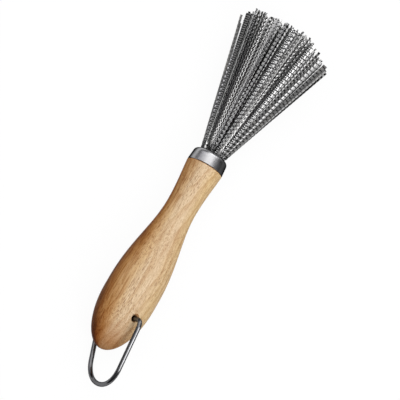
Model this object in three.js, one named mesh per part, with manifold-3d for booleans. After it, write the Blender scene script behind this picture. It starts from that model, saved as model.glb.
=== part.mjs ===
// Pot brush with a turned wooden handle, a steel ferrule, a swinging wire loop and crimped steel strips
// Sizes are in millimetres and +Z is up. The brush lies on a table with its axis along +X.
import * as THREE from 'three';
import { mergeVertices } from 'three/addons/utils/BufferGeometryUtils.js';
import Module from 'manifold-3d';

const wasm = await Module();
wasm.setup();

// Clearances between neighbouring pieces
const fitGap = 0.3; // ferrule on its tenon, plug in its socket, ring round the bundle
const rootGap = 0.3; // strip roots above the bed of resin
const pinGap = 0.6; // loop pin in the cross hole, so that the loop swings freely

// Handle, measured along the axis from its butt end
const handleLength = 125.5; // butt end to the edge of the ferrule
const gripRadius = 16.5; // widest part of the grip
const buttLength = 34.5; // half-ellipse that closes the butt end
const gripEnd = 40.5; // where the grip starts to narrow
const gripEase = 24; // how gently the grip leaves its widest part
const waistPlace = 97.5; // narrowest place
const waistRadius = 9.6;
const waistEase = 18; // how gently the grip runs into the waist
const flareEase = 11; // how gently the waist opens to the collar
const collarRadius = 11.7; // at the edge of the ferrule
const collarEase = 8; // how gently the flare reaches the collar
const collarRise = 0.6; // how much the flare still opens over that last stretch
const handleFacets = 32; // flat sides round the axis
const curveSteps = 6; // points along each curve of the outline
const crownSteps = 2; // points along the rounded end of the tenon

// Ferrule, a drawn steel cap that is flush with the collar
const ferruleWall = 0.7;
const ferruleHeight = 8.7; // lower edge to the lip
const ferruleDraft = 0.5; // how much narrower the cap is at its shoulder
const shoulderRadius = 2.8; // outer rounding of the shoulder
const mouthRadius = 8; // opening that the strips come out of, and the socket under it
const lipRound = 0.25; // broken edge of the mouth
const shoulderSteps = 2; // points along each half of the shoulder

// Socket in the collar, with the plug and the tie that hold the strips
const socketDepth = 19; // below the end of the tenon
const plugHeight = 3;
const tieWire = 0.8; // thickness of the binding wire
const tieHeight = 5; // middle of the tie above the plug
const tieFacets = 20;
const tieSides = 6;

// Strips: flat steel ribbon, straight in the socket and crimped where it is free
const stripWidth = 1.4;
const stripThickness = 0.3;
const stripLength = 88.7; // free length beyond the mouth
const crimpPitch = 7.4; // length of one full wave
const crimpDepth = 0.45; // how far a wave stands off its own line
const bendLength = 6; // length over which a strip turns outwards, ending at the mouth
const bendSteps = 2;
const ringShares = [1, 0.82, 0.5, 0.2]; // radius of each ring of roots, as a share of the outermost
const ringLeans = [1, 0.93, 0.6, 0.25]; // lean of each ring, as a share of the outermost
const ringCounts = [18, 18, 9, 3]; // strips in each ring
const ringTurns = [0, 10, 5, 30]; // where each ring starts round the axis, in degrees
const leanLeft = 11.6; // lean of the outermost strips on the +Y side, in degrees
const leanApart = 13.9; // of the one strip there that stands apart from the others
const leanRight = 19; // on the -Y side
const leanUp = 15; // on the upper side
const leanDown = 5.7; // on the side that lies on the table
const leanStray = 0.03; // largest stray of a strip from its place in the fan, as a slope
const strayLength = 1.6; // largest difference of a strip from that length
const strayStep = 2.39996; // turn between the strays of two strips that follow each other, in radians

// Hanging loop, one bent wire whose pins sit in the cross hole
const wireRadius = 1.45;
const holePlace = 23.5; // from the butt end
const holeTurn = 36; // how far the upper mouth of the hole is turned to the -Y side, in degrees
const loopTopHalf = 20.5; // half of the width between the legs at the pins
const loopBowHalf = 14.4; // half of the width where the bow starts
const loopBowStart = 31; // from the pins
const loopLength = 43; // pins to the middle of the bow
const loopBend = 4.5; // length of leg and of pin that each corner takes up
const pinReach = 14; // pin end to the line of its leg
const bowFlank = 7; // how far the line of a leg is kept into the bow
const bowFlat = 7.5; // how far the bow stays level on each side of its middle
const loopShift = 2; // how far the loop has slid along the hole towards its upper mouth
const loopSwing = 14.5; // turn away from straight along the axis, in degrees
const wireHalfSides = 5; // flat sides on each half of the wire
const wireSteps = 44;
const holeFacets = 16;
const drillOver = 8; // how far the drill reaches past the grip on each side

// Meshing
const weldDistance = 1e-4; // corners closer than this are one corner

// Looks of the materials
const woodLook = { color: 0xcfa673, roughness: 0.6, metalness: 0 };
const ferruleLook = { color: 0xb9bbc2, roughness: 0.22, metalness: 1 };
const wireLook = { color: 0xa8aab0, roughness: 0.25, metalness: 1 };
const stripLook = { color: 0x9a9b9e, roughness: 0.35, metalness: 1 };
const tieLook = { color: 0x8d8f94, roughness: 0.4, metalness: 1 };
const resinLook = { color: 0xb98f4a, roughness: 0.5, metalness: 0 };

// Places that follow from the sizes above
const radians = THREE.MathUtils.degToRad;
const ferruleFoot = handleLength + fitGap;
const lipTop = ferruleFoot + ferruleHeight;
const shoulderPlace = lipTop - shoulderRadius;
const shoulderCentre = collarRadius - ferruleDraft - shoulderRadius;
const tenonCrown = shoulderRadius - ferruleWall - fitGap;
const tenonEnd = shoulderPlace + tenonCrown;
const socketRadius = mouthRadius;
const tenonFootRadius = collarRadius - ferruleWall - fitGap;
const tenonTopRadius = shoulderCentre + tenonCrown;
const socketFloor = tenonEnd - socketDepth;
const plugFoot = socketFloor + fitGap;
const plugTop = plugFoot + plugHeight;
const plugRadius = socketRadius - fitGap;
const rootStart = plugTop + rootGap;
const bendStart = lipTop - bendLength;
const halfWaves = Math.round((2 * stripLength) / crimpPitch);
const tieRadius = socketRadius - fitGap - tieWire / 2;
const bundleRadius = tieRadius - tieWire / 2 - fitGap;
const outerRing = Math.sqrt(bundleRadius ** 2 - (stripWidth / 2) ** 2) - stripThickness / 2;
const holeRadius = wireRadius + pinGap;
const drillLength = 2 * (gripRadius + drillOver);

const group = new THREE.Group();
group.name = 'pot_brush';

function addPiece(name, geometry, look) {
  const mesh = new THREE.Mesh(geometry, new THREE.MeshStandardMaterial(look));
  mesh.name = name;
  group.add(mesh);
}

// Revolve an outline of (radius, place along the axis) points about the X axis
function revolve(points, facets) {
  const geometry = new THREE.LatheGeometry(points, facets);
  geometry.rotateY(Math.PI / facets);
  geometry.rotateZ(-Math.PI / 2);
  return geometry;
}

// Joining and cutting of closed meshes
function toSolid(geometry) {
  const bare = geometry.clone();
  bare.deleteAttribute('normal');
  bare.deleteAttribute('uv');
  const merged = mergeVertices(bare, weldDistance);
  const corners = merged.index.array;
  const kept = [];
  for (let i = 0; i < corners.length; i += 3) {
    const [a, b, c] = [corners[i], corners[i + 1], corners[i + 2]];
    if (a !== b && b !== c && c !== a) kept.push(a, b, c);
  }
  const mesh = new wasm.Mesh({
    numProp: 3,
    vertProperties: new Float32Array(merged.attributes.position.array),
    triVerts: new Uint32Array(kept),
  });
  return new wasm.Manifold(mesh);
}

function toGeometry(solid) {
  const mesh = solid.getMesh();
  const geometry = new THREE.BufferGeometry();
  geometry.setAttribute('position', new THREE.BufferAttribute(new Float32Array(mesh.vertProperties), 3));
  geometry.setIndex(new THREE.BufferAttribute(new Uint32Array(mesh.triVerts), 1));
  geometry.computeVertexNormals();
  return geometry;
}

// Directions of the cross hole and of the loop as it lies on the table
const holeAxis = new THREE.Vector3(0, -Math.sin(radians(holeTurn)), Math.cos(radians(holeTurn)));
const loopDown = new THREE.Vector3(-1, 0, 0).applyAxisAngle(holeAxis, radians(loopSwing));
const loopNormal = new THREE.Vector3().crossVectors(holeAxis, loopDown);
const holeCentre = new THREE.Vector3(holePlace, 0, 0);

// Handle: revolve the outline, then drill the cross hole
const outline = new THREE.Path();
outline.moveTo(0, 0);
outline.absellipse(0, buttLength, gripRadius, buttLength, -Math.PI / 2, 0);
outline.lineTo(gripRadius, gripEnd);
outline.bezierCurveTo(
  gripRadius, gripEnd + gripEase,
  waistRadius, waistPlace - waistEase,
  waistRadius, waistPlace,
);
outline.bezierCurveTo(
  waistRadius, waistPlace + flareEase,
  collarRadius - collarRise, handleLength - collarEase,
  collarRadius, handleLength,
);
const tenon = new THREE.Path();
tenon.moveTo(tenonFootRadius, handleLength);
tenon.lineTo(tenonTopRadius, shoulderPlace);
tenon.absarc(shoulderCentre, shoulderPlace, tenonCrown, 0, Math.PI / 2);
tenon.lineTo(socketRadius, tenonEnd);
tenon.lineTo(socketRadius, socketFloor);
tenon.lineTo(0, socketFloor);
const turnedOutline = [...outline.getPoints(curveSteps), ...tenon.getPoints(crownSteps)];
const turned = revolve(turnedOutline, handleFacets);
const drill = new THREE.CylinderGeometry(holeRadius, holeRadius, drillLength, holeFacets);
drill.applyQuaternion(new THREE.Quaternion().setFromUnitVectors(new THREE.Vector3(0, 1, 0), holeAxis));
drill.translate(holePlace, 0, 0);
addPiece('handle', toGeometry(toSolid(turned).subtract(toSolid(drill))), woodLook);

// Ferrule: revolve the section of the drawn cap
const wallSection = new THREE.Path();
wallSection.moveTo(collarRadius, ferruleFoot);
wallSection.lineTo(collarRadius - ferruleDraft, shoulderPlace);
wallSection.absarc(shoulderCentre, shoulderPlace, shoulderRadius, 0, Math.PI / 2);
wallSection.lineTo(mouthRadius + lipRound, lipTop);
wallSection.lineTo(mouthRadius, lipTop - lipRound);
wallSection.lineTo(mouthRadius, lipTop - ferruleWall);
wallSection.lineTo(shoulderCentre, lipTop - ferruleWall);
wallSection.absarc(shoulderCentre, shoulderPlace, shoulderRadius - ferruleWall, Math.PI / 2, 0, true);
wallSection.lineTo(collarRadius - ferruleWall, ferruleFoot);
wallSection.lineTo(collarRadius, ferruleFoot);
addPiece('ferrule', revolve(wallSection.getPoints(shoulderSteps), handleFacets), ferruleLook);

// Hanging loop: sweep a round wire along pin, leg, bow, leg and pin
function loopSide(path, side) {
  const legSlope = (loopBowHalf - loopTopHalf) / loopBowStart;
  const cornerHalf = loopTopHalf + legSlope * loopBend;
  const flankHalf = loopBowHalf + legSlope * bowFlank;
  if (side > 0) {
    path.moveTo(loopTopHalf - pinReach, 0);
    path.lineTo(loopTopHalf - loopBend, 0);
    path.quadraticCurveTo(loopTopHalf, 0, cornerHalf, loopBend);
    path.lineTo(loopBowHalf, loopBowStart);
    path.bezierCurveTo(flankHalf, loopBowStart + bowFlank, bowFlat, loopLength, 0, loopLength);
  } else {
    path.bezierCurveTo(
      -bowFlat, loopLength,
      -flankHalf, loopBowStart + bowFlank,
      -loopBowHalf, loopBowStart,
    );
    path.lineTo(-cornerHalf, loopBend);
    path.quadraticCurveTo(-loopTopHalf, 0, loopBend - loopTopHalf, 0);
    path.lineTo(pinReach - loopTopHalf, 0);
  }
}

const loopLine = new THREE.Path();
loopSide(loopLine, 1);
loopSide(loopLine, -1);
const loopPoints = loopLine.getSpacedPoints(wireSteps).map((p) => new THREE.Vector3(p.x, p.y, 0));
const wireSection = new THREE.Shape();
wireSection.absarc(0, 0, wireRadius, 0, 2 * Math.PI);
const loopWire = new THREE.ExtrudeGeometry(wireSection, {
  steps: wireSteps,
  curveSegments: wireHalfSides,
  bevelEnabled: false,
  extrudePath: new THREE.CatmullRomCurve3(loopPoints),
});
const loopPlace = new THREE.Matrix4().makeBasis(holeAxis, loopDown, loopNormal);
loopPlace.setPosition(holeCentre.clone().addScaledVector(holeAxis, loopShift));
loopWire.applyMatrix4(loopPlace);
addPiece('hanging_loop', loopWire, wireLook);

// Strips: each is the side view of a crimped ribbon, extruded by its width and turned about the axis
function stray(order, turns) {
  return Math.sin(order * strayStep * turns);
}

function fanSlope(turn) {
  const across = Math.cos(turn) > 0 ? leanLeft : leanRight;
  const upright = Math.sin(turn) > 0 ? leanUp : leanDown;
  const acrossPart = Math.cos(turn) / Math.tan(radians(across));
  const uprightPart = Math.sin(turn) / Math.tan(radians(upright));
  return 1 / Math.hypot(acrossPart, uprightPart);
}

function stripLine(radius, lean, length) {
  const points = [new THREE.Vector2(rootStart, radius), new THREE.Vector2(bendStart, radius)];
  let place = points[1];
  for (let i = 0; i < bendSteps; i += 1) {
    const angle = (lean * (2 * i + 1)) / (2 * bendSteps);
    const step = new THREE.Vector2(Math.cos(angle), Math.sin(angle));
    place = place.clone().addScaledVector(step, bendLength / bendSteps);
    points.push(place);
  }
  const along = new THREE.Vector2(Math.cos(lean), Math.sin(lean));
  const outward = new THREE.Vector2(-along.y, along.x);
  for (let i = 1; i <= halfWaves; i += 1) {
    const crest = i % 2 === 0 ? -crimpDepth : crimpDepth;
    const middle = place.clone().addScaledVector(along, (length * i) / halfWaves);
    points.push(middle.addScaledVector(outward, crest));
  }
  return points;
}

function direction(line, i) {
  return line[i + 1].clone().sub(line[i]).normalize();
}

// Give a line its thickness, with mitred corners
function thicken(line, thickness) {
  const upper = [];
  const lower = [];
  const lastStep = line.length - 2;
  line.forEach((point, i) => {
    const arriving = direction(line, Math.max(i - 1, 0));
    const leaving = direction(line, Math.min(i, lastStep));
    const middle = arriving.clone().add(leaving).normalize();
    const normal = new THREE.Vector2(-middle.y, middle.x);
    const reach = thickness / 2 / middle.dot(arriving);
    upper.push(point.clone().addScaledVector(normal, reach));
    lower.push(point.clone().addScaledVector(normal, -reach));
  });
  return new THREE.Shape([...lower, ...upper.reverse()]);
}

// The outermost ring keeps its exact lean, which sets the outline of the fan, and the next one fills its gaps
let order = 0;
ringShares.forEach((share, ring) => {
  for (let i = 0; i < ringCounts[ring]; i += 1) {
    order += 1;
    const turn = radians(ringTurns[ring]) + (2 * Math.PI * i) / ringCounts[ring];
    const spread = order === 1 ? Math.tan(radians(leanApart)) : fanSlope(turn);
    const slopeStray = ring === 0 ? 0 : leanStray * stray(order, 1);
    const lean = Math.atan(ringLeans[ring] * (spread + slopeStray));
    const length = stripLength + strayLength * stray(order, 2);
    const side = thicken(stripLine(share * outerRing, lean, length), stripThickness);
    const strip = new THREE.ExtrudeGeometry(side, { depth: stripWidth, bevelEnabled: false });
    strip.translate(0, 0, -stripWidth / 2);
    strip.rotateX(turn);
    addPiece(`strip_${String(order).padStart(2, '0')}`, strip, stripLook);
  }
});

// Plug: the bed of resin under the roots
const plugBody = new THREE.CylinderGeometry(plugRadius, plugRadius, plugHeight, handleFacets);
plugBody.rotateZ(-Math.PI / 2);
plugBody.translate(plugFoot + plugHeight / 2, 0, 0);
addPiece('resin_plug', plugBody, resinLook);

// Binding wire: a ring round the outermost roots
const tie = new THREE.TorusGeometry(tieRadius, tieWire / 2, tieSides, tieFacets);
tie.rotateY(Math.PI / 2);
tie.translate(plugTop + tieHeight, 0, 0);
addPiece('binding_wire', tie, tieLook);

// Set the origin at the middle of the underside
const box = new THREE.Box3().setFromObject(group);
const middle = box.getCenter(new THREE.Vector3());
group.children.forEach((mesh) => mesh.geometry.translate(-middle.x, -middle.y, -box.min.z));

export default group;
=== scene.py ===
"""Looks of the pot brush: turned wood, polished ferrule, wire loop and a fan of crimped steel ribbons."""
import math
import random

import bmesh
import bpy
from mathutils import Matrix, Quaternion, Vector


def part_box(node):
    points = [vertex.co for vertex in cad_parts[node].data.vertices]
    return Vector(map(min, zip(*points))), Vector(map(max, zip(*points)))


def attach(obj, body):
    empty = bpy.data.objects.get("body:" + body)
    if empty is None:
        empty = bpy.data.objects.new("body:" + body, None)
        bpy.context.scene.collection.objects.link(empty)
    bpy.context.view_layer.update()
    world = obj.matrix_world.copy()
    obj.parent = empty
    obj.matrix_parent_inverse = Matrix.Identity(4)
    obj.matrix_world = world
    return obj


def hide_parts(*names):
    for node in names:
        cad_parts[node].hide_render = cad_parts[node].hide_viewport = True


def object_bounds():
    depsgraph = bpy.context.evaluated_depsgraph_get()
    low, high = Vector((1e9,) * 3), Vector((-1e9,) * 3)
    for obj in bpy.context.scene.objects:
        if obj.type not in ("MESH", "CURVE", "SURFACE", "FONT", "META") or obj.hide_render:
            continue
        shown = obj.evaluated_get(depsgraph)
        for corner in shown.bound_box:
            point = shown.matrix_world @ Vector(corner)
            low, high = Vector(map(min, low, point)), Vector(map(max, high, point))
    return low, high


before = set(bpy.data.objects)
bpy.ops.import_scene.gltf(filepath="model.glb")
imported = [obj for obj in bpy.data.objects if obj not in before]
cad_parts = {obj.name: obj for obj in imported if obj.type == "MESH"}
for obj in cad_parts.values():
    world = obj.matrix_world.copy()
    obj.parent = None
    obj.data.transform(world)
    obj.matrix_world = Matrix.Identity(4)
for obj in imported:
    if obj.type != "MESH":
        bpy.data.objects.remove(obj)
cad_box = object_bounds()

MM = 0.001

# Handle outline in millimetres, measured along the axis from the butt end, as in the CAD source
HANDLE_LENGTH = 125.5
GRIP_RADIUS = 16.5
BUTT_LENGTH = 34.5
GRIP_END = 40.5
GRIP_EASE = 24
WAIST_PLACE = 97.5
WAIST_RADIUS = 9.6
WAIST_EASE = 18
FLARE_EASE = 11
COLLAR_RADIUS = 11.7
COLLAR_EASE = 8
COLLAR_RISE = 0.6
EDGE_ROUND = 0.25

# Ferrule and the socket under it
FIT_GAP = 0.3
FERRULE_WALL = 0.7
FERRULE_HEIGHT = 8.7
FERRULE_DRAFT = 0.5
SHOULDER_RADIUS = 2.8
MOUTH_RADIUS = 8
LIP_ROUND = 0.25
SOCKET_DEPTH = 19
PLUG_HEIGHT = 3
ROOT_GAP = 0.3
TIE_WIRE = 0.8

# Hanging loop and the cross hole, with turns in degrees
WIRE_RADIUS = 1.45
PIN_GAP = 0.6
PIN_REACH = 14
HOLE_PLACE = 23.5
HOLE_TURN = 36
HOLE_BREAK = 0.7
LOOP_TOP_HALF = 20.5
LOOP_BOW_HALF = 14.4
LOOP_BOW_START = 31
LOOP_LENGTH = 43
LOOP_BEND = 4.5
CORNER_PULL = 2 / 3
BOW_FLANK = 7
BOW_FLAT = 7.5
LOOP_SHIFT = 2
LOOP_SWING = 14.5

# How finely round forms are divided
HANDLE_SIDES = 112
HOLE_SIDES = 40
WIRE_SIDES = 24
GRIP_STEPS = 30
FLARE_STEPS = 16
TENON_STEPS = 6
SHOULDER_STEPS = 12
SHOULDER_INNER_STEPS = 8
LIP_STEPS = 4
LOOP_BEND_STEPS = 12
BOW_STEPS = 24

# Angles in degrees from which an edge is sharp
TURNED_CREASE = 40
DRILLED_CREASE = 35
STEEL_CREASE = 60

# Strips, as in the CAD source, with leans and turns in degrees
STRIP_WIDTH = 1.4
STRIP_THICKNESS = 0.3
STRIP_LENGTH = 88.7
BEND_LENGTH = 6
RING_SHARES = (1, 0.82, 0.5, 0.2)
RING_LEANS = (1, 0.93, 0.6, 0.25)
RING_COUNTS = (18, 18, 9, 3)
RING_TURNS = (0, 10, 5, 30)
LEAN_LEFT = 11.6
LEAN_APART = 13.9
LEAN_RIGHT = 19
LEAN_UP = 15
LEAN_DOWN = 5.7
LEAN_STRAY = 0.03
STRAY_LENGTH = 1.6
STRAY_STEP = 2.39996

# Crimps, which are finer than the CAD solids have, and how a ribbon turns and bends on its way
WAVE_PITCH = 2.75
WAVE_DEPTH = 0.31
WAVE_START = 1.5
WAVE_SHARPNESS = 0.92
STEPS_PER_WAVE = 6
BEND_STEPS = 4
ROLL_RUN = 6
RING_TWIST = 9
BOW_POWER = 2

# Further strips, which the CAD solids leave out
SEED = 52
EXTRA_STRIPS = 330
EXTRA_TRIES = 6
EXTRA_TWIST = 40
EXTRA_LENGTH_STRAY = 0.7
EXTRA_BOW = 1.0
EXTRA_WIDTHS = (0.7, 1.2)

# Locks, in which neighbouring strips nest
LOCKS = 85
LOCK_PULL = 0.5
LOCK_ROLL = 22
LOCK_LENGTH_STRAY = 1.5
LOCK_TONE_SHARE = 0.2
ON_EDGE = 90
ON_EDGE_SHARE = 0.38
TIGHT_STRAY = 0.08
LOOSE_STRAY = 0.5
LOOSE_SHARE = 0.75
OWN_ROLL = 18
FLAT_SHARE = 0.85

# Edges of the fan, where strips lie flatter, are darkened with painted shade and, on the -Y side, end lower
EDGE_CALM = 6
EDGE_SHADE_START_LEFT = 0.85
EDGE_SHADE_START_RIGHT = 0.6
EDGE_SHADE_DEEPENING = 1.0
EDGE_SHADE_DIMMING = 0.35
RIGHT_SHORTER = 3.2
RIGHT_SHARES = (0.35, 0.65)

# Strips beside the first, which stands apart: its strand, those that bend away and those behind them
APART_ORDER = 1
APART_BOW = -0.9
APART_TURN = 2
LATE_BOW_POWER = 5
APART_GROUPS = (
    dict(count=2, leans=(13.2, 13.6), bows=(0.0, 0.0), shorter=(5, 12), shares=(0.8, 1.0), spot=1.0),
    dict(count=9, leans=(12.2, 13.2), bows=(-1.9, -1.3), shorter=(1.5, 5), shares=(0.8, 1.0), spot=0.85),
    dict(count=8, leans=(10.4, 12.2), bows=(-0.8, 0.0), shorter=(1.5, 5), shares=(0.6, 0.85), spot=0.8),
)

# Wood colours, from pale on the -Y side round to dark brown on the +Y side, where the brown is painted shade
# on top of the wood's own tint. A range here maps its first two numbers to its last two.
WOOD_TINTS_AND_SHADES = (
    (0.05, (0.74, 0.55, 0.30)),
    (0.30, (0.715, 0.555, 0.37)),
    (0.55, (0.695, 0.545, 0.36)),
    (0.68, (0.65, 0.45, 0.24)),
    (0.82, (0.49, 0.26, 0.095)),
    (0.93, (0.35, 0.15, 0.045)),
    (1.0, (0.19, 0.075, 0.024)),
)
# Share of the painted shade that browns the +Y side
PAINTED_SHADE_BY_SIDE = 0.5
TINT_BY_PATCH = 0.36
TINT_START_RANGE = (50.0, 115.0, 0.36, 0.24)
PATCHES = dict(per_mm=(0.018, 0.10, 0.10), shift=(31.0, 7.0, 3.0))

# Growth rings about a pith that lies aside of the handle and slants to it
PITH_ASIDE = -22.0
PITH_SLANT_ASIDE = 0.10
PITH_SLANT_DOWN = 0.16
RINGS_PER_MM = 0.26
RING_DRIFT = 3.0
RING_RANGE = (0.5, 0.95, 0.0, 0.55)
RING_SHADE = (0.77, 0.64, 0.52)
DRIFT = dict(per_mm=(0.016, 0.05, 0.05), detail=2.0)

# Streaks, lines, fibres and pores of the wood, each with the shade that it multiplies the wood by
STREAKS = dict(per_mm=(0.022, 0.55, 0.55), shift=(3.0, 17.0, 50.0))
STREAK_RANGE = (0.46, 0.74, 0.0, 0.48)
STREAK_SHADE = (0.70, 0.54, 0.42)
LINES = dict(per_mm=(0.035, 1.3, 1.3), shift=(13.0, 41.0, 5.0), detail=2.0)
LINE_RANGE = (0.50, 0.64, 0.0, 0.8)
LINE_SIDE_RANGE = (-0.1, 0.7, 0.15, 1.0)
LINE_SHADE = (0.62, 0.46, 0.35)
FIBRES = dict(per_mm=(0.12, 2.6, 2.6), detail=4.0, roughness=0.7)
FIBRE_RANGE = (0.42, 0.72, 0.0, 0.7)
FIBRE_SHADE = (0.60, 0.45, 0.34)
PORES = dict(per_mm=(0.23, 2.1, 2.1), shift=(5.0, 60.0, 9.0))
PORE_CROWDING = dict(per_mm=(0.03, 0.16, 0.16), detail=2.0)
PORE_SIZE_RANGE = (0.35, 0.65, 0.16, 0.36)
PORE_RANGE = (0.0, 0.12, 0.0, 0.8)
PORE_SHADE = (0.42, 0.27, 0.19)
FINE_PORES = dict(per_mm=(0.42, 2.6, 2.6), shift=(40.0, 11.0, 27.0))
FINE_PORE_RANGE = (0.18, 0.34, 0.6, 0.0)
FINE_PORE_SHADE = (0.58, 0.44, 0.34)
END_GRAIN_RANGE = (0.10, 0.66, 0.0, 0.9)
END_GRAIN_SHADE = (0.68, 0.45, 0.29)

# Finish of the wood, with bumps as strength and depth in millimetres
WOOD_ROUGHNESS_RANGE = (0.3, 0.75, 0.36, 0.52)
WOOD_SPECULAR = 0.015
FIBRE_HEIGHT = 0.35
WOOD_BUMP = (0.35, 0.12)

# Steel of the ferrule, the loop and the tie
STEEL_GRAIN = dict(detail=4.0, roughness=0.7)
STAINS = dict(per_mm=(0.14, 0.14, 0.14))
STAIN_RANGE = (0.42, 0.70, 0.0, 0.6)
STAIN_SHADE = 0.72
POLISH_BY_GRAIN = 0.6
POLISH_BY_STAIN = 0.4
POLISH_LOW = 0.3
POLISH_HIGH = 0.72
SCRATCH_DEPTH = 0.02
RIM_TINT = (0.2, 0.2, 0.2)
# Painted shade on the ferrule's low flanks, standing in for a dark reflection
FLANK_TURN = 12
FLANK_STRAY = 2.0
FLANK_SHARE = 0.82
PAINTED_FLANK_SHADE = (0.0, 0.0, 0.0)

# Steel of the strips, with painted shade near the roots, with each ribbon's tone and own coordinates in named
# layers
RIBBON_LAYERS = ("tone", "along", "aside")
RIBBON_TONES = ((0.1, (0.08, 0.08, 0.08)), (0.5, (0.52, 0.52, 0.52)), (0.9, (0.90, 0.90, 0.895)))
RIBBON_SPREAD = 60.0
ROLLING_LINES = dict(per_mm=(0.35, 5.0, 1.0), roughness=0.65)
RIBBON_STAINS = dict(per_mm=(0.12, 0.3, 1.0), detail=2.0)
RIBBON_STAIN_RANGE = (0.45, 0.72, 0.0, 0.55)
RIBBON_STAIN = (0.16, 0.155, 0.145)
RIBBON_ROUGHNESS_RANGE = (0.3, 0.75, 0.11, 0.25)
RIBBON_BUMP = (0.25, 0.03)
# Painted shade near the roots, over this run in millimetres past the lip
ROOT_SHADE_RUN = 9
ROOT_SHADE_SHARE = 0.65
ROOT_PAINTED_SHADE = (0.05, 0.05, 0.05)

# Resin
RESIN_CLOUDS = dict(per_mm=(0.5, 0.5, 0.5), detail=4.0)
RESIN_SPECKS = dict(per_mm=(3.0, 3.0, 3.0), detail=2.0)
RESIN_TINTS = ((0.3, (0.36, 0.19, 0.05)), (0.7, (0.62, 0.40, 0.15)))
RESIN_ROUGHNESS_RANGE = (0.3, 0.7, 0.22, 0.48)
RESIN_BUMP = (0.2, 0.1)

# Camera above the brush, leaning towards the handle, with the brush turned in the picture
VIEW_LEAN = 12
VIEW_TURN = 30.1
VIEW_WIDTH = 238.6
VIEW_DISTANCE = 1600
VIEW_PLACE = 107.2
VIEW_ASIDE = -7.3
SENSOR = 36
CLIP_END = 20

# Soft boxes: overhead, two towards -Y, one past the tips and one towards +Y, in metres from the collar
WHITE = (1.0, 1.0, 1.0)
SOFT_BOXES = (
    dict(name="main", offset=(0.03, 0.02, 0.95), size=(1.15, 1.3), watts=7.0, colour=(1.0, 0.99, 0.98)),
    dict(name="key", offset=(-0.48, -0.74, 0.81), size=(0.30, 0.30), watts=1.8, colour=WHITE),
    dict(name="edge", offset=(-0.44, -0.77, 0.81), size=(0.36, 1.1), watts=3.6, colour=WHITE, roll=36),
    dict(name="end", offset=(0.75, -0.15, 0.62), size=(1.0, 0.5), watts=3.2, colour=WHITE),
    dict(name="fill", offset=(0.0, 0.78, 0.66), size=(1.0, 0.6), watts=1.9, colour=(0.97, 0.96, 1.0)),
)

# Room and floor, in metres
ROOM_SHADES = ((0.25, (0.05, 0.05, 0.055)), (0.9, (0.24, 0.24, 0.25)))
FLOOR_SIZE = 15
FLOOR_DROP = 0.0004
FLOOR_GLOW = 0.94
FLOOR_WHITE = (0.95, 0.95, 0.95)
FLOOR_BOUNCE = (0.6, 0.6, 0.6)
FLOOR_ROUGHNESS = 0.9

# Places that follow from the sizes above
FERRULE_FOOT = HANDLE_LENGTH + FIT_GAP
LIP_TOP = FERRULE_FOOT + FERRULE_HEIGHT
SHOULDER_PLACE = LIP_TOP - SHOULDER_RADIUS
SHOULDER_CENTRE = COLLAR_RADIUS - FERRULE_DRAFT - SHOULDER_RADIUS
TENON_CROWN = SHOULDER_RADIUS - FERRULE_WALL - FIT_GAP
TENON_END = SHOULDER_PLACE + TENON_CROWN
TENON_FOOT_RADIUS = COLLAR_RADIUS - FERRULE_WALL - FIT_GAP
SOCKET_FLOOR = TENON_END - SOCKET_DEPTH
ROOT_START = SOCKET_FLOOR + FIT_GAP + PLUG_HEIGHT + ROOT_GAP
ROOT_LENGTH = LIP_TOP - ROOT_START
BEND_START = LIP_TOP - BEND_LENGTH
BUNDLE_RADIUS = MOUTH_RADIUS - FIT_GAP - TIE_WIRE - FIT_GAP
OUTER_RING = math.sqrt(BUNDLE_RADIUS**2 - (STRIP_WIDTH / 2) ** 2) - STRIP_THICKNESS / 2

# The brush's axis in the shared frame
ferrule_low, ferrule_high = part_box("ferrule")
AXIS_START = Vector((
    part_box("handle")[0].x,
    (ferrule_low.y + ferrule_high.y) / 2,
    (ferrule_low.z + ferrule_high.z) / 2,
))
HOLE_AXIS = Vector((0, -math.sin(math.radians(HOLE_TURN)), math.cos(math.radians(HOLE_TURN))))


def at_axis(place, across=0.0, up=0.0):
    """A point in metres from millimetres along the axis, to +Y and upwards."""
    return AXIS_START + Vector((place, across, up)) * MM


# Shape helpers
def bezier(a, b, c, d, steps):
    """Points of a cubic curve, without its first one."""
    points = []
    for i in range(1, steps + 1):
        t = i / steps
        weights = ((1 - t) ** 3, 3 * t * (1 - t) ** 2, 3 * t * t * (1 - t), t**3)
        points.append(tuple(sum(w * p[k] for w, p in zip(weights, (a, b, c, d))) for k in (0, 1)))
    return points


def arc(centre, radii, start, end, steps):
    """Points of an elliptic arc between two angles in degrees."""
    angles = [math.radians(start + (end - start) * i / steps) for i in range(steps + 1)]
    return [(centre[0] + radii[0] * math.cos(a), centre[1] + radii[1] * math.sin(a)) for a in angles]


def join_rings(mesh, rings):
    """Faces between each ring of corners and the next. A ring may be a single point."""
    for first, second in zip(rings, rings[1:]):
        count = max(len(first), len(second))
        for i in range(count):
            j = (i + 1) % count
            near = [first[i % len(first)], first[j % len(first)]]
            far = [second[j % len(second)], second[i % len(second)]]
            mesh.faces.new(list(dict.fromkeys(near + far)))


def close_tube(mesh, rings):
    """Faces along a tube of rings and over both its ends."""
    join_rings(mesh, rings)
    mesh.faces.new(rings[0])
    mesh.faces.new(rings[-1])


def turned(outline, sides, closed=False):
    """A mesh made by turning (radius, place) points about the axis."""
    mesh = bmesh.new()
    rings = []
    for radius, place in outline:
        turns = [2 * math.pi * i / sides for i in range(sides if radius > 0 else 1)]
        spots = [at_axis(place, radius * math.cos(t), radius * math.sin(t)) for t in turns]
        rings.append([mesh.verts.new(spot) for spot in spots])
    if closed:
        rings.append(rings[0])
    join_rings(mesh, rings)
    bmesh.ops.recalc_face_normals(mesh, faces=mesh.faces)
    return mesh


def add_object(name, mesh):
    """Turn a bmesh into an object of the scene."""
    data = bpy.data.meshes.new(name)
    mesh.to_mesh(data)
    mesh.free()
    thing = bpy.data.objects.new(name, data)
    bpy.context.scene.collection.objects.link(thing)
    return thing


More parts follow.
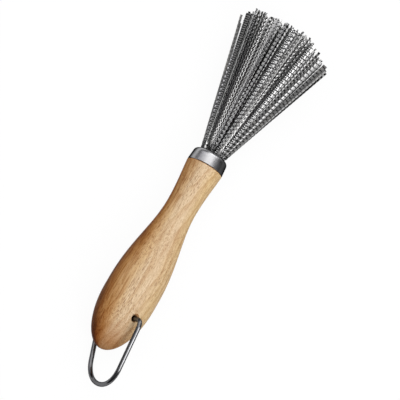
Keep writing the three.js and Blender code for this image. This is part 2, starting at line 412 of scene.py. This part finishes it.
def add_piece(name, mesh, material, body, node=None, crease=TURNED_CREASE):
    """Turn a bmesh into a piece that rides on a body and stands for a CAD node, where one is given."""
    for face in mesh.faces:
        face.smooth = True
    piece = add_object(name, mesh)
    piece.data.set_sharp_from_angle(angle=math.radians(crease))
    piece.data.materials.append(material)
    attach(piece, body)
    if node:
        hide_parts(node)
    return piece


class Shader:
    """A material with short ways to add the nodes that are used here."""

    def __init__(self, name):
        self.material = bpy.data.materials.new(name)
        self.material.use_nodes = True
        self.tree = self.material.node_tree
        self.surface = self.tree.nodes["Principled BSDF"]

    def feed(self, socket, value):
        if isinstance(value, bpy.types.NodeSocket):
            self.tree.links.new(value, socket)
        else:
            socket.default_value = value

    def add(self, kind, inputs, **settings):
        node = self.tree.nodes.new(kind)
        for name, value in settings.items():
            setattr(node, name, value)
        for name, value in inputs.items():
            self.feed(node.inputs[name], value)
        return node

    def millimetres(self):
        """The object's own coordinates, in millimetres."""
        place = self.add("ShaderNodeTexCoord", {}).outputs["Object"]
        return self.add("ShaderNodeVectorMath", {0: place, "Scale": 1 / MM}, operation="SCALE").outputs[0]

    def from_axis(self):
        """The same coordinates, measured from the start of the brush's axis."""
        return self.shift(self.millimetres(), tuple(-part / MM for part in AXIS_START))

    def attribute(self, name):
        return self.add("ShaderNodeAttribute", {}, attribute_name=name).outputs["Fac"]

    def vector(self, x, y, z):
        return self.add("ShaderNodeCombineXYZ", {0: x, 1: y, 2: z}).outputs[0]

    def parts(self, vector):
        """The X, Y and Z of a vector."""
        return self.add("ShaderNodeSeparateXYZ", {0: vector}).outputs

    def unit(self, vector):
        return self.add("ShaderNodeVectorMath", {0: vector}, operation="NORMALIZE").outputs["Vector"]

    def length(self, vector):
        return self.add("ShaderNodeVectorMath", {0: vector}, operation="LENGTH").outputs["Value"]

    def stretch(self, vector, factors):
        return self.add("ShaderNodeVectorMath", {0: vector, 1: factors}, operation="MULTIPLY").outputs[0]

    def shift(self, vector, offset):
        return self.add("ShaderNodeVectorMath", {0: vector, 1: offset}, operation="ADD").outputs[0]

    def noise(self, place, per_mm, shift=(0.0, 0.0, 0.0), detail=3.0, roughness=0.55):
        """Soft noise that varies so many times per millimetre along each axis."""
        vector = self.stretch(self.shift(place, shift), per_mm)
        inputs = {"Vector": vector, "Scale": 1.0, "Detail": detail, "Roughness": roughness}
        return self.add("ShaderNodeTexNoise", inputs).outputs["Fac"]

    def cells(self, place, per_mm, shift):
        """The distance to the nearest of scattered spots, so many of them per millimetre along each axis."""
        vector = self.stretch(self.shift(place, shift), per_mm)
        return self.add("ShaderNodeTexVoronoi", {"Vector": vector, "Scale": 1.0}).outputs["Distance"]

    def maths(self, operation, first, second=0.0):
        return self.add("ShaderNodeMath", {0: first, 1: second}, operation=operation).outputs[0]

    def weigh(self, first, first_weight, second, second_weight):
        """The sum of two values, each times its weight."""
        first_part = self.maths("MULTIPLY", first, first_weight)
        return self.maths("ADD", first_part, self.maths("MULTIPLY", second, second_weight))

    def span(self, value, low, high, to_low, to_high):
        """Map a value from one range to another, smoothly and clamped."""
        inputs = {"Value": value, 1: low, 2: high, 3: to_low, 4: to_high}
        return self.add("ShaderNodeMapRange", inputs, interpolation_type="SMOOTHSTEP").outputs["Result"]

    def ramp(self, value, stops):
        node = self.add("ShaderNodeValToRGB", {"Fac": value})
        elements = node.color_ramp.elements
        while len(elements) < len(stops):
            elements.new(1.0)
        for element, (position, colour) in zip(elements, stops):
            element.position = position
            element.color = (*colour, 1)
        return node.outputs["Color"]

    def mix(self, share, first, second, blend="MIX"):
        node = self.add("ShaderNodeMix", {}, data_type="RGBA", blend_type=blend)
        self.feed(node.inputs[0], share)
        for socket, value in ((node.inputs[6], first), (node.inputs[7], second)):
            self.feed(socket, value if isinstance(value, bpy.types.NodeSocket) else (*value, 1))
        return node.outputs[2]

    def bump(self, height, strength, distance):
        inputs = {"Height": height, "Strength": strength, "Distance": distance * MM}
        return self.add("ShaderNodeBump", inputs).outputs["Normal"]

    def finish(self, **inputs):
        for name, value in inputs.items():
            self.feed(self.surface.inputs[name.replace("_", " ")], value)
        return self.material


# Materials
def wood_tint_and_painted_shade(wood, place, along, side):
    """The wood's colour: its own tint, browner in patches and more so on the grip, with painted shade that
    browns it towards the +Y side.
    """
    # painted shade: the handle's +Y side is turned browner
    turn = wood.weigh(side, PAINTED_SHADE_BY_SIDE, wood.noise(place, **PATCHES), TINT_BY_PATCH)
    start = wood.span(along, *TINT_START_RANGE)
    return wood.ramp(wood.maths("ADD", turn, start), WOOD_TINTS_AND_SHADES)


def growth_rings(wood, place, axes):
    """How far each spot is into the late wood of its ring."""
    pith = wood.maths("ADD", wood.maths("MULTIPLY", axes["X"], PITH_SLANT_ASIDE), PITH_ASIDE)
    across = wood.maths("SUBTRACT", axes["Y"], pith)
    up = wood.maths("ADD", axes["Z"], wood.maths("MULTIPLY", axes["X"], PITH_SLANT_DOWN))
    away = wood.length(wood.vector(across, up, 0.0))
    rings = wood.weigh(away, RINGS_PER_MM, wood.noise(place, **DRIFT), RING_DRIFT)
    return wood.span(wood.maths("FRACT", rings), *RING_RANGE)


def wood_pores(wood, place):
    """Short dark pores along the axis, larger where they crowd."""
    size = wood.span(wood.noise(place, **PORE_CROWDING), *PORE_SIZE_RANGE)
    return wood.span(wood.maths("SUBTRACT", size, wood.cells(place, **PORES)), *PORE_RANGE)


def end_grain(wood):
    """How far the surface faces along the axis."""
    facing = wood.parts(wood.add("ShaderNodeNewGeometry", {}).outputs["Normal"])
    return wood.span(wood.maths("ABSOLUTE", facing["X"]), *END_GRAIN_RANGE)


def turned_wood():
    """Pale wood with painted shade that browns one side: soft growth rings, streaks, fibres, and short pores
    along the axis.
    """
    wood = Shader("turned_wood")
    place = wood.from_axis()
    axes = wood.parts(place)
    side = wood.parts(wood.unit(wood.vector(0.0, axes["Y"], axes["Z"])))["Y"]
    lines = wood.span(wood.noise(place, **LINES), *LINE_RANGE)
    fibres = wood.noise(place, **FIBRES)
    pores = wood_pores(wood, place)
    layers = (
        (growth_rings(wood, place, axes), RING_SHADE),
        (wood.span(wood.noise(place, **STREAKS), *STREAK_RANGE), STREAK_SHADE),
        (wood.maths("MULTIPLY", lines, wood.span(side, *LINE_SIDE_RANGE)), LINE_SHADE),
        (wood.span(fibres, *FIBRE_RANGE), FIBRE_SHADE),
        (pores, PORE_SHADE),
        (wood.span(wood.cells(place, **FINE_PORES), *FINE_PORE_RANGE), FINE_PORE_SHADE),
        (end_grain(wood), END_GRAIN_SHADE),
    )
    colour = wood_tint_and_painted_shade(wood, place, axes["X"], side)
    for share, shade in layers:
        colour = wood.mix(share, colour, shade, "MULTIPLY")
    height = wood.maths("SUBTRACT", wood.maths("MULTIPLY", fibres, FIBRE_HEIGHT), pores)
    return wood.finish(
        Base_Color=colour,
        Roughness=wood.span(fibres, *WOOD_ROUGHNESS_RANGE),
        Specular_IOR_Level=WOOD_SPECULAR,
        Normal=wood.bump(height, *WOOD_BUMP),
    )


def paint_flank_shade(steel, colour, stains, flanks):
    """Painted shade, standing in for a dark reflection, on the low flanks of a ring about the axis: black
    there, fading out on the way up between two shares of its radius. Up leans to the +Y side here."""
    axes = steel.parts(steel.from_axis())
    tilt = math.radians(FLANK_TURN)
    level = steel.weigh(axes["Z"], math.cos(tilt), axes["Y"], math.sin(tilt))
    height = steel.maths("ADD", level, steel.maths("MULTIPLY", stains, FLANK_STRAY))
    share = steel.maths("DIVIDE", height, COLLAR_RADIUS)
    return steel.mix(steel.span(share, *flanks, FLANK_SHARE, 0.0), colour, PAINTED_FLANK_SHADE)


def worn_steel(name, tone, rough, grain, scratch, flanks=None):
    """Steel with uneven polish, and with painted shade on its low flanks where flanks are given. Rough is its
    lowest and highest roughness, and grain is how often the polish varies per millimetre along each axis."""
    steel = Shader(name)
    place = steel.millimetres()
    lines = steel.noise(place, grain, **STEEL_GRAIN)
    stains = steel.noise(place, **STAINS)
    darker = tuple(STAIN_SHADE * part for part in tone)
    colour = steel.mix(steel.span(stains, *STAIN_RANGE), tone, darker)
    # painted shade darkens the low flanks where flanks are given
    if flanks:
        colour = paint_flank_shade(steel, colour, stains, flanks)
    uneven = steel.weigh(lines, POLISH_BY_GRAIN, stains, POLISH_BY_STAIN)
    return steel.finish(
        Base_Color=colour,
        Metallic=1.0,
        Specular_Tint=(*RIM_TINT, 1.0),
        Roughness=steel.span(uneven, POLISH_LOW, POLISH_HIGH, *rough),
        Normal=steel.bump(lines, scratch, SCRATCH_DEPTH),
    )


def ribbon_steel():
    """Flat-rolled steel. Each ribbon has its own tone, which carries painted shade towards the fan's edges,
    and rolling lines run along it. Shade is also painted near the roots.
    """
    steel = Shader("ribbon_steel")
    tone, along, aside = (steel.attribute(name) for name in RIBBON_LAYERS)
    spot = steel.vector(along, aside, steel.maths("MULTIPLY", tone, RIBBON_SPREAD))
    lines = steel.noise(spot, **ROLLING_LINES)
    stains = steel.span(steel.noise(spot, **RIBBON_STAINS), *RIBBON_STAIN_RANGE)
    stained = steel.mix(stains, steel.ramp(tone, RIBBON_TONES), RIBBON_STAIN)
    # painted shade that darkens each ribbon near its root
    root_shade = steel.span(along, ROOT_LENGTH, ROOT_LENGTH + ROOT_SHADE_RUN, ROOT_SHADE_SHARE, 0.0)
    return steel.finish(
        Base_Color=steel.mix(root_shade, stained, ROOT_PAINTED_SHADE),
        Metallic=1.0,
        Roughness=steel.span(lines, *RIBBON_ROUGHNESS_RANGE),
        Normal=steel.bump(lines, *RIBBON_BUMP),
    )


def cast_resin():
    """Amber potting resin with cloudy spots."""
    resin = Shader("cast_resin")
    place = resin.millimetres()
    clouds = resin.noise(place, **RESIN_CLOUDS)
    specks = resin.noise(place, **RESIN_SPECKS)
    return resin.finish(
        Base_Color=resin.ramp(clouds, RESIN_TINTS),
        Roughness=resin.span(clouds, *RESIN_ROUGHNESS_RANGE),
        Normal=resin.bump(specks, *RESIN_BUMP),
    )


WOOD = turned_wood()
FERRULE_STEEL = worn_steel(
    "ferrule_steel",
    tone=(0.50, 0.50, 0.51),
    rough=(0.26, 0.36),
    grain=(9.0, 0.25, 0.25),
    scratch=0.10,
    # painted shade on the ferrule's low flanks
    flanks=(0.62, 0.90),
)
LOOP_STEEL = worn_steel(
    "loop_steel",
    tone=(0.155, 0.155, 0.16),
    rough=(0.12, 0.20),
    grain=(1.6, 1.6, 1.6),
    scratch=0.03,
)
TIE_STEEL = worn_steel(
    "tie_steel",
    tone=(0.48, 0.48, 0.48),
    rough=(0.22, 0.42),
    grain=(2.5, 2.5, 2.5),
    scratch=0.2,
)
RIBBON_STEEL = ribbon_steel()
RESIN = cast_resin()


# Handle
def handle_outline():
    outline = arc((0, BUTT_LENGTH), (GRIP_RADIUS, BUTT_LENGTH), -90, 0, GRIP_STEPS)
    outline[0] = (0, 0)
    outline += [(GRIP_RADIUS, GRIP_END)]
    outline += bezier(outline[-1], (GRIP_RADIUS, GRIP_END + GRIP_EASE),
                      (WAIST_RADIUS, WAIST_PLACE - WAIST_EASE), (WAIST_RADIUS, WAIST_PLACE), GRIP_STEPS)
    outline += bezier(outline[-1], (WAIST_RADIUS, WAIST_PLACE + FLARE_EASE),
                      (COLLAR_RADIUS - COLLAR_RISE, HANDLE_LENGTH - COLLAR_EASE),
                      (COLLAR_RADIUS, HANDLE_LENGTH - EDGE_ROUND), FLARE_STEPS)
    outline += [(COLLAR_RADIUS - EDGE_ROUND, HANDLE_LENGTH), (TENON_FOOT_RADIUS, HANDLE_LENGTH)]
    outline += arc((SHOULDER_CENTRE, SHOULDER_PLACE), (TENON_CROWN, TENON_CROWN), 0, 90, TENON_STEPS)
    outline += [(MOUTH_RADIUS, TENON_END), (MOUTH_RADIUS, SOCKET_FLOOR), (0, SOCKET_FLOOR)]
    return outline


def drill():
    """The cross hole's cutter, which widens a little where it leaves the wood."""
    radius = WIRE_RADIUS + PIN_GAP
    height = (HOLE_PLACE - BUTT_LENGTH) / BUTT_LENGTH
    surface = GRIP_RADIUS * math.sqrt(1 - height**2)
    reach = 2 * surface
    wide = radius + surface + HOLE_BREAK
    outline = [(0, -reach), (wide, -reach), (radius, HOLE_BREAK - surface)]
    outline += [(radius, surface - HOLE_BREAK), (wide, reach), (0, reach)]
    mesh = turned(outline, HOLE_SIDES)
    turn = Vector((1, 0, 0)).rotation_difference(HOLE_AXIS).to_matrix().to_4x4()
    centre = Matrix.Translation(at_axis(HOLE_PLACE))
    bmesh.ops.transform(mesh, matrix=centre @ turn @ Matrix.Translation(-AXIS_START), verts=mesh.verts)
    return mesh


def make_handle():
    handle = add_piece("wood_handle", turned(handle_outline(), HANDLE_SIDES), WOOD, "brush", "handle")
    cutter = add_object("cutter", drill())
    cut = handle.modifiers.new("cross_hole", "BOOLEAN")
    cut.object = cutter
    cut.operation = "DIFFERENCE"
    cut.solver = "EXACT"
    shaped = handle.evaluated_get(bpy.context.evaluated_depsgraph_get())
    solid = bpy.data.meshes.new_from_object(shaped)
    handle.modifiers.clear()
    handle.data = solid
    solid.shade_smooth()
    solid.set_sharp_from_angle(angle=math.radians(DRILLED_CREASE))
    bpy.data.objects.remove(cutter)


# Ferrule
def make_ferrule():
    inner = SHOULDER_RADIUS - FERRULE_WALL
    centre = (SHOULDER_CENTRE, SHOULDER_PLACE)
    lip_centre = (MOUTH_RADIUS + LIP_ROUND, LIP_TOP - LIP_ROUND)
    section = [(COLLAR_RADIUS - LIP_ROUND, FERRULE_FOOT), (COLLAR_RADIUS, FERRULE_FOOT + LIP_ROUND)]
    section += arc(centre, (SHOULDER_RADIUS, SHOULDER_RADIUS), 0, 90, SHOULDER_STEPS)
    section += arc(lip_centre, (LIP_ROUND, LIP_ROUND), 90, 180, LIP_STEPS)
    section += [(MOUTH_RADIUS, LIP_TOP - FERRULE_WALL)]
    section += arc(centre, (inner, inner), 90, 0, SHOULDER_INNER_STEPS)
    section += [(COLLAR_RADIUS - FERRULE_WALL, FERRULE_FOOT)]
    mesh = turned(section, HANDLE_SIDES, closed=True)
    add_piece("steel_ferrule", mesh, FERRULE_STEEL, "brush", "ferrule")


# Hanging loop
def loop_half():
    """One side of the loop, from the pin's end to the middle of the bow, as (across, down) points."""
    slope = (LOOP_BOW_HALF - LOOP_TOP_HALF) / LOOP_BOW_START
    corner = (LOOP_TOP_HALF, 0)
    leg_top = (LOOP_TOP_HALF + slope * LOOP_BEND, LOOP_BEND)
    bend_start = (LOOP_TOP_HALF - LOOP_BEND, 0)
    lead = [tuple(p[k] + CORNER_PULL * (corner[k] - p[k]) for k in (0, 1)) for p in (bend_start, leg_top)]
    points = [(LOOP_TOP_HALF - PIN_REACH, 0), bend_start]
    points += bezier(bend_start, lead[0], lead[1], leg_top, LOOP_BEND_STEPS)
    points += [(LOOP_BOW_HALF, LOOP_BOW_START)]
    flank = (LOOP_BOW_HALF + slope * BOW_FLANK, LOOP_BOW_START + BOW_FLANK)
    return points + bezier(points[-1], flank, (BOW_FLAT, LOOP_LENGTH), (0, LOOP_LENGTH), BOW_STEPS)


def make_loop():
    down = Vector((-1, 0, 0))
    down.rotate(Matrix.Rotation(math.radians(LOOP_SWING), 3, HOLE_AXIS))
    face = HOLE_AXIS.cross(down)
    start = at_axis(HOLE_PLACE) + HOLE_AXIS * LOOP_SHIFT * MM
    half = loop_half()
    line = half + [(-across, along) for across, along in reversed(half[:-1])]
    spots = [start + (HOLE_AXIS * across + down * along) * MM for across, along in line]
    turns = [2 * math.pi * k / WIRE_SIDES for k in range(WIRE_SIDES)]
    mesh = bmesh.new()
    rings = []
    for i, spot in enumerate(spots):
        before = spots[max(i - 1, 0)]
        after = spots[min(i + 1, len(spots) - 1)]
        inward = face.cross(after - before).normalized()
        rim = [(inward * math.cos(t) + face * math.sin(t)) * WIRE_RADIUS * MM for t in turns]
        rings.append([mesh.verts.new(spot + offset) for offset in rim])
    close_tube(mesh, rings)
    bmesh.ops.recalc_face_normals(mesh, faces=mesh.faces)
    add_piece("wire_loop", mesh, LOOP_STEEL, "loop", "hanging_loop", crease=STEEL_CREASE)


# Ribbons
def crimp(turns):
    """One full wave per turn, with flat flanks and tight crests."""
    return math.asin(WAVE_SHARPNESS * math.sin(2 * math.pi * turns)) / math.asin(WAVE_SHARPNESS)


def ribbon_spots(ribbon):
    """A ribbon's steps: (centre, width direction, distance along), in millimetres from the axis start."""
    radial = Vector((0, math.cos(ribbon["turn"]), math.sin(ribbon["turn"])))
    tangent = Vector((0, -math.sin(ribbon["turn"]), math.cos(ribbon["turn"])))
    axial = Vector((1, 0, 0))
    root = axial * ROOT_START + radial * ribbon["radius"]
    bend = axial * BEND_START + radial * ribbon["radius"]
    root_roll = ribbon["roll"] * ribbon["root_roll"]
    later_roll = ribbon["roll"] - root_roll
    root_line = tangent * math.cos(root_roll) - radial * math.sin(root_roll)
    spots = [(root, root_line, 0.0), (bend, root_line, BEND_START - ROOT_START)]
    place = bend
    for i in range(BEND_STEPS):
        angle = ribbon["lean"] * (2 * i + 1) / (2 * BEND_STEPS)
        place = place + (axial * math.cos(angle) + radial * math.sin(angle)) * BEND_LENGTH / BEND_STEPS
        rolled = root_roll + later_roll * (i + 1) / BEND_STEPS * BEND_LENGTH / (BEND_LENGTH + ROLL_RUN)
        width_line = tangent * math.cos(rolled) - radial * math.sin(rolled)
        spots.append((place, width_line, ROOT_LENGTH))
    along = axial * math.cos(ribbon["lean"]) + radial * math.sin(ribbon["lean"])
    outward = radial * math.cos(ribbon["lean"]) - axial * math.sin(ribbon["lean"])
    steps = round(ribbon["length"] / WAVE_PITCH * STEPS_PER_WAVE)
    for i in range(1, steps + 1):
        run = ribbon["length"] * i / steps
        part = i / steps
        rolled = min((BEND_LENGTH + run) / (BEND_LENGTH + ROLL_RUN), 1.0)
        twist = root_roll + later_roll * rolled + ribbon["twist"] * part
        facing = outward * math.cos(twist) + tangent * math.sin(twist)
        width_line = tangent * math.cos(twist) - outward * math.sin(twist)
        depth = WAVE_DEPTH * min(run / WAVE_START, 1.0)
        wave = facing * depth * crimp(run / WAVE_PITCH + ribbon["phase"])
        bent = math.sin(math.pi * part / 2) ** ribbon["bow_power"]
        bow = (outward * ribbon["bow"] + tangent * ribbon["sway"]) * bent
        spots.append((place + along * run + wave + bow, width_line, ROOT_LENGTH + run))
    return spots


def add_ribbon(mesh, ribbon):
    """Add one flat ribbon to a mesh, with its tone and its own coordinates on each corner."""
    tone, along, aside = (mesh.verts.layers.float.get(name) for name in RIBBON_LAYERS)
    edge = ribbon["width"] / 2
    rise = STRIP_THICKNESS / 2
    spots = ribbon_spots(ribbon)
    rings = []
    for i, (centre, width_line, run) in enumerate(spots):
        heading = (spots[min(i + 1, len(spots) - 1)][0] - spots[max(i - 1, 0)][0]).normalized()
        normal = heading.cross(width_line).normalized()
        ring = []
        for across, height in ((edge, rise), (-edge, rise), (-edge, -rise), (edge, -rise)):
            corner = mesh.verts.new(at_axis(*(centre + width_line * across + normal * height)))
            corner[tone] = ribbon["tone"]
            corner[along] = run
            corner[aside] = across
            ring.append(corner)
        rings.append(ring)
    close_tube(mesh, rings)


def ribbon_mesh(ribbons):
    mesh = bmesh.new()
    for name in RIBBON_LAYERS:
        mesh.verts.layers.float.new(name)
    for ribbon in ribbons:
        add_ribbon(mesh, ribbon)
    bmesh.ops.recalc_face_normals(mesh, faces=mesh.faces)
    return mesh


# Fan
def stray(order, turns):
    """A fixed stray between -1 and 1 for each strip, the same as in the CAD source."""
    return math.sin(order * STRAY_STEP * turns)


def fan_slope(turn):
    """How far the outermost strips lean, as a slope, at a turn about the axis."""
    across = LEAN_LEFT if math.cos(turn) > 0 else LEAN_RIGHT
    upright = LEAN_UP if math.sin(turn) > 0 else LEAN_DOWN
    across_part = math.cos(turn) / math.tan(math.radians(across))
    upright_part = math.sin(turn) / math.tan(math.radians(upright))
    return 1 / math.hypot(across_part, upright_part)


def disc_spot(share, turn):
    """Where a strip sits in the fan, with the fan drawn as an ellipse-like disc of slopes."""
    reach = share * fan_slope(turn)
    return Vector((reach * math.cos(turn), reach * math.sin(turn)))


def make_locks(chance):
    """Strips that lie near each other nest in locks, which share their waves, roll, length and tone."""
    locks = []
    for _ in range(LOCKS):
        locks.append({
            "spot": disc_spot(math.sqrt(chance.random()), chance.uniform(0, 2 * math.pi)),
            "phase": chance.random(),
            "stray": LOOSE_STRAY if chance.random() < LOOSE_SHARE else TIGHT_STRAY,
            "roll": chance.gauss(ON_EDGE if chance.random() < ON_EDGE_SHARE else 0, LOCK_ROLL),
            "length": chance.uniform(-LOCK_LENGTH_STRAY, LOCK_LENGTH_STRAY),
            "tone": chance.random(),
        })
    return locks


def lock_of(spot, locks):
    return min(locks, key=lambda lock: (lock["spot"] - spot).length)


def flat_roll(turn):
    """The roll in degrees, up to a quarter turn either way, that lays a strip's broad side level."""
    return 90 - math.degrees(turn) % 180


def edge_share(spot):
    """How far a strip lies from the middle of the fan to its +Y or -Y edge, from 0 to 1."""
    return min(abs(spot.x) / fan_slope(0 if spot.x > 0 else math.pi), 1)


def with_edge_shade(tone, spot):
    """A strip's tone, darkened with painted shade towards the fan's edges."""
    start = EDGE_SHADE_START_LEFT if spot.x > 0 else EDGE_SHADE_START_RIGHT
    part = max((edge_share(spot) - start) / (1 - start), 0)
    return tone ** (1 + EDGE_SHADE_DEEPENING * part) * (1 - EDGE_SHADE_DIMMING * part)


def trimmed(spot):
    """How much shorter a strip is on the -Y side of the fan."""
    if spot.x > 0:
        return 0.0
    low, high = RIGHT_SHARES
    part = min(max((edge_share(spot) - low) / (high - low), 0), 1)
    return RIGHT_SHORTER * part


def lie_in_lock(ribbon, lock, chance):
    """Give a ribbon its own strays from what its lock shares. Towards the fan's edges they all lie flat."""
    calm = edge_share(ribbon["spot"]) ** EDGE_CALM
    flat = FLAT_SHARE + (1 - FLAT_SHARE) * calm
    own_roll = lock["roll"] + chance.gauss(0, OWN_ROLL)
    roll = flat * flat_roll(ribbon["turn"]) + (1 - calm) * own_roll
    ribbon["phase"] = lock["phase"] + chance.uniform(-lock["stray"], lock["stray"])
    ribbon["roll"] = math.radians(roll)
    tone = LOCK_TONE_SHARE * lock["tone"] + (1 - LOCK_TONE_SHARE) * chance.random()
    # painted shade: the tone darkens towards the fan's edges
    ribbon["tone"] = with_edge_shade(tone, ribbon["spot"])
    ribbon["length"] -= trimmed(ribbon["spot"])
    return ribbon


def ring_ribbons(chance, locks):
    """The strips that stand for the CAD ones, in the same order."""
    ribbons = []
    for ring, share in enumerate(RING_SHARES):
        for i in range(RING_COUNTS[ring]):
            order = len(ribbons) + 1
            apart = order == APART_ORDER
            turn = math.radians(RING_TURNS[ring]) + 2 * math.pi * i / RING_COUNTS[ring]
            spread = math.tan(math.radians(LEAN_APART)) if apart else fan_slope(turn)
            slope_stray = 0 if ring == 0 else LEAN_STRAY * stray(order, 1)
            spot = disc_spot(RING_LEANS[ring], turn)
            ribbon = {
                "turn": turn,
                "radius": share * OUTER_RING,
                "lean": math.atan(RING_LEANS[ring] * (spread + slope_stray)),
                "length": STRIP_LENGTH + STRAY_LENGTH * stray(order, 2),
                "twist": math.radians(chance.uniform(-RING_TWIST, RING_TWIST)),
                "bow": APART_BOW if apart else 0.0,
                "bow_power": BOW_POWER,
                "sway": 0.0,
                "width": STRIP_WIDTH,
                "spot": spot,
                "root_roll": 0.0,
            }
            ribbons.append(lie_in_lock(ribbon, lock_of(spot, locks), chance))
    return ribbons


def emptiest_spot(chance, spots):
    """(share, spot) of the emptiest of a few chance places in the fan."""
    tries = []
    for _ in range(EXTRA_TRIES):
        share = math.sqrt(chance.random())
        turn = chance.uniform(0, 2 * math.pi)
        tries.append((share, disc_spot(share, turn)))
    return max(tries, key=lambda pick: min((pick[1] - spot).length for spot in spots))


def extra_ribbons(chance, locks, taken):
    """Further strips, drawn towards the middle of their lock."""
    spots = list(taken)
    ribbons = []
    for _ in range(EXTRA_STRIPS):
        share, spot = emptiest_spot(chance, spots)
        spots.append(spot)
        lock = lock_of(spot, locks)
        inner = 1 - share**2
        drawn = spot.lerp(lock["spot"], LOCK_PULL * inner)
        own_length = chance.uniform(-EXTRA_LENGTH_STRAY, EXTRA_LENGTH_STRAY)
        ribbon = {
            "turn": math.atan2(drawn.y, drawn.x),
            "radius": share * OUTER_RING,
            "lean": math.atan(drawn.length),
            "length": STRIP_LENGTH + lock["length"] + own_length,
            "twist": math.radians(chance.uniform(-EXTRA_TWIST, EXTRA_TWIST)) * inner,
            "bow": chance.uniform(-EXTRA_BOW, EXTRA_BOW) * inner,
            "bow_power": BOW_POWER,
            "sway": chance.uniform(-EXTRA_BOW, EXTRA_BOW) * inner,
            "width": chance.uniform(*EXTRA_WIDTHS),
            "spot": spot,
            "root_roll": 0.0,
        }
        ribbons.append(lie_in_lock(ribbon, lock, chance))
    return ribbons


def apart_ribbons(chance, locks):
    """Strips beside the one that stands apart on the +Y side. They bend late, so that the gap opens near the
    tips, and they are rolled from the root up."""
    ribbons = []
    for group in APART_GROUPS:
        for _ in range(group["count"]):
            turn = math.radians(chance.uniform(-APART_TURN, APART_TURN))
            ribbon = {
                "turn": turn,
                "radius": OUTER_RING * chance.uniform(*group["shares"]),
                "lean": math.radians(chance.uniform(*group["leans"])),
                "length": STRIP_LENGTH - chance.uniform(*group["shorter"]),
                "twist": 0.0,
                "bow": chance.uniform(*group["bows"]),
                "bow_power": LATE_BOW_POWER,
                "sway": 0.0,
                "width": chance.uniform(*EXTRA_WIDTHS),
                "spot": disc_spot(group["spot"], turn),
                "root_roll": 1.0,
            }
            ribbons.append(lie_in_lock(ribbon, lock_of(ribbon["spot"], locks), chance))
    return ribbons


def add_ribbons(name, ribbons, node=None):
    mesh = ribbon_mesh(ribbons)
    add_piece(name, mesh, RIBBON_STEEL, "brush", node, crease=STEEL_CREASE)


def make_strips():
    chance = random.Random(SEED)
    locks = make_locks(chance)
    main = ring_ribbons(chance, locks)
    for order, ribbon in enumerate(main, start=1):
        add_ribbons(f"ribbon_{order:02d}", [ribbon], f"strip_{order:02d}")
    extra = extra_ribbons(chance, locks, [ribbon["spot"] for ribbon in main])
    extra += apart_ribbons(chance, locks)
    add_ribbons("ribbons_between", extra)


# Stage
def place_camera():
    lean = math.radians(VIEW_LEAN)
    turn = math.radians(VIEW_TURN)
    flat_right = Vector((0, -1, 0))
    flat_up = Vector((math.cos(lean), 0, math.sin(lean)))
    right = flat_right * math.cos(turn) + flat_up * math.sin(turn)
    up = flat_up * math.cos(turn) - flat_right * math.sin(turn)
    back = right.cross(up)
    lens = bpy.data.cameras.new("camera")
    lens.sensor_width = SENSOR
    lens.lens = SENSOR * VIEW_DISTANCE / VIEW_WIDTH
    lens.clip_end = CLIP_END
    camera = bpy.data.objects.new("camera", lens)
    camera.matrix_world = Matrix((right, up, back)).transposed().to_4x4()
    camera.location = at_axis(VIEW_PLACE, VIEW_ASIDE) + back * VIEW_DISTANCE * MM
    bpy.context.scene.collection.objects.link(camera)
    bpy.context.scene.camera = camera


def add_soft_box(name, offset, size, watts, colour, roll=0):
    """A lamp that faces the collar, rolled by degrees about its own line of sight."""
    lamp = bpy.data.lights.new(name, "AREA")
    lamp.shape = "RECTANGLE"
    lamp.size, lamp.size_y = size
    lamp.energy = watts
    lamp.color = colour
    box = bpy.data.objects.new(name, lamp)
    box.location = at_axis(HANDLE_LENGTH) + Vector(offset)
    aim = (-Vector(offset)).to_track_quat("-Z", "Y")
    box.rotation_euler = (aim @ Quaternion((0, 0, 1), math.radians(roll))).to_euler()
    bpy.context.scene.collection.objects.link(box)


def make_room():
    """A dim world, darker towards the horizon."""
    world = bpy.data.worlds.new("room")
    bpy.context.scene.world = world
    world.use_nodes = True
    room = world.node_tree
    direction = room.nodes.new("ShaderNodeTexCoord")
    parts = room.nodes.new("ShaderNodeSeparateXYZ")
    shade = room.nodes.new("ShaderNodeValToRGB")
    room.links.new(direction.outputs["Generated"], parts.inputs[0])
    room.links.new(parts.outputs["Z"], shade.inputs["Fac"])
    room.links.new(shade.outputs["Color"], room.nodes["Background"].inputs["Color"])
    for element, (position, colour) in zip(shade.color_ramp.elements, ROOM_SHADES):
        element.position = position
        element.color = (*colour, 1)


def white_paper():
    """White to the camera and in reflections, with most of it kept even where the brush shades it."""
    paper = Shader("floor_white")
    rays = paper.add("ShaderNodeLightPath", {}).outputs
    seen = paper.maths("MAXIMUM", rays["Is Camera Ray"], rays["Is Glossy Ray"])
    seen = paper.maths("MAXIMUM", seen, rays["Is Transmission Ray"])
    glow = paper.add("ShaderNodeEmission", {"Color": (*WHITE, 1), "Strength": 1.0}).outputs[0]
    share = paper.maths("MULTIPLY", seen, FLOOR_GLOW)
    blend = paper.add("ShaderNodeMixShader", {0: share, 1: paper.surface.outputs[0], 2: glow})
    paper.feed(paper.tree.nodes["Material Output"].inputs["Surface"], blend.outputs[0])
    return paper.finish(
        Base_Color=paper.mix(seen, FLOOR_BOUNCE, FLOOR_WHITE),
        Roughness=FLOOR_ROUGHNESS,
        Specular_IOR_Level=0.0,
    )


def lay_floor():
    mesh = bmesh.new()
    bmesh.ops.create_grid(mesh, x_segments=1, y_segments=1, size=FLOOR_SIZE)
    floor = add_object("floor", mesh)
    floor.location.z = cad_box[0][2] - FLOOR_DROP
    floor.data.materials.append(white_paper())


make_handle()
make_ferrule()
make_loop()
make_strips()

# CAD nodes that stay as they are and only take a material
for node, material in (("resin_plug", RESIN), ("binding_wire", TIE_STEEL)):
    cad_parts[node].data.materials.clear()
    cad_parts[node].data.materials.append(material)

place_camera()
for soft_box in SOFT_BOXES:
    add_soft_box(**soft_box)
make_room()
lay_floor()
bpy.context.scene.view_settings.view_transform = "Standard"
